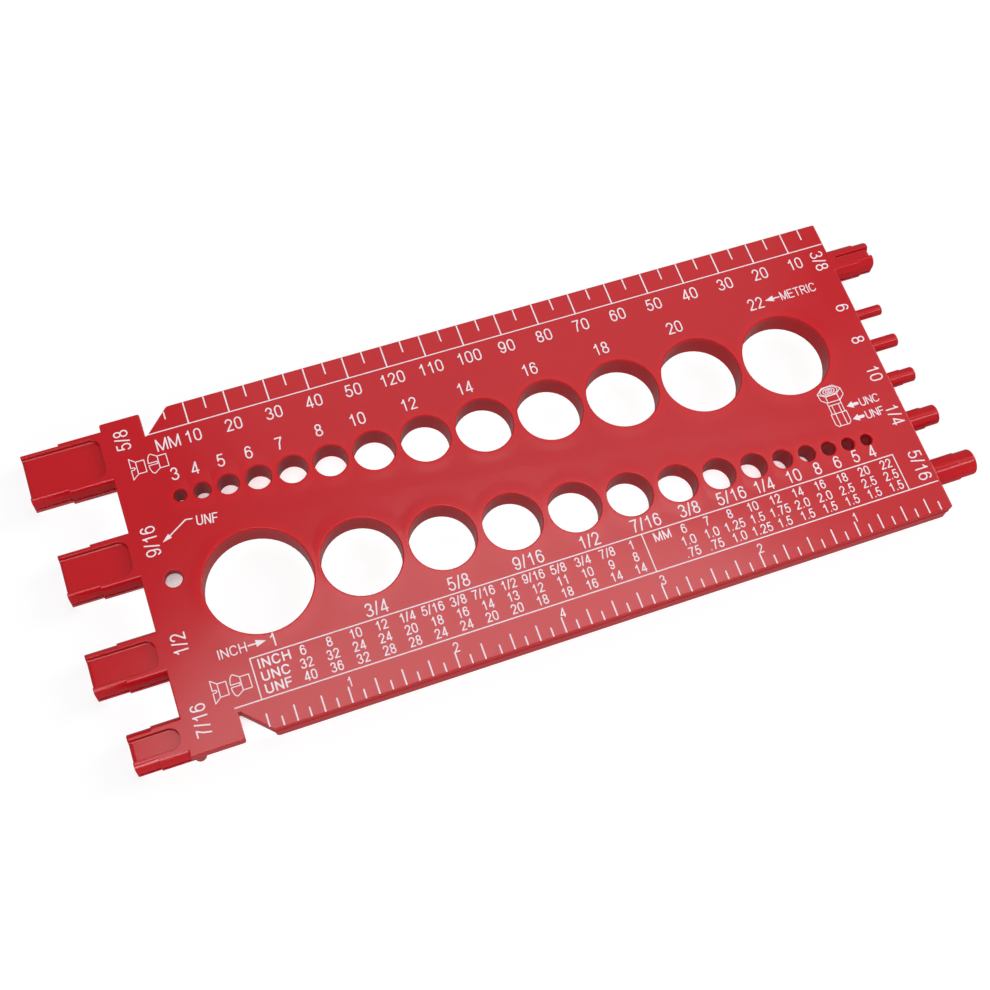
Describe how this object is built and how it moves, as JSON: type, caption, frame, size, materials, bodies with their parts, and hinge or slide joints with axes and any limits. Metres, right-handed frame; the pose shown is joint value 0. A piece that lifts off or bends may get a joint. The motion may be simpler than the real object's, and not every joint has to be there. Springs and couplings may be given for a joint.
{
  "type": "thread checker",
  "caption": "Flat moulded gauge plate: bolts are tried in rows of sized holes, nuts on stepped posts at both ends, and lengths on metric and inch ruler edges.",
  "frame": {"origin": "middle of the outline, on the face the plate lies on", "axes": "+X along the rulers from the recessed posts towards the small pins, +Y towards the metric ruler edge, +Z out of the printed face"},
  "size_m": [0.2212, 0.0842, 0.007],
  "materials": {
    "body": "glossy moulded red"
  },
  "bodies": {
    "root": {"gauge_plate": "body"}
  },
  "joints": []
}
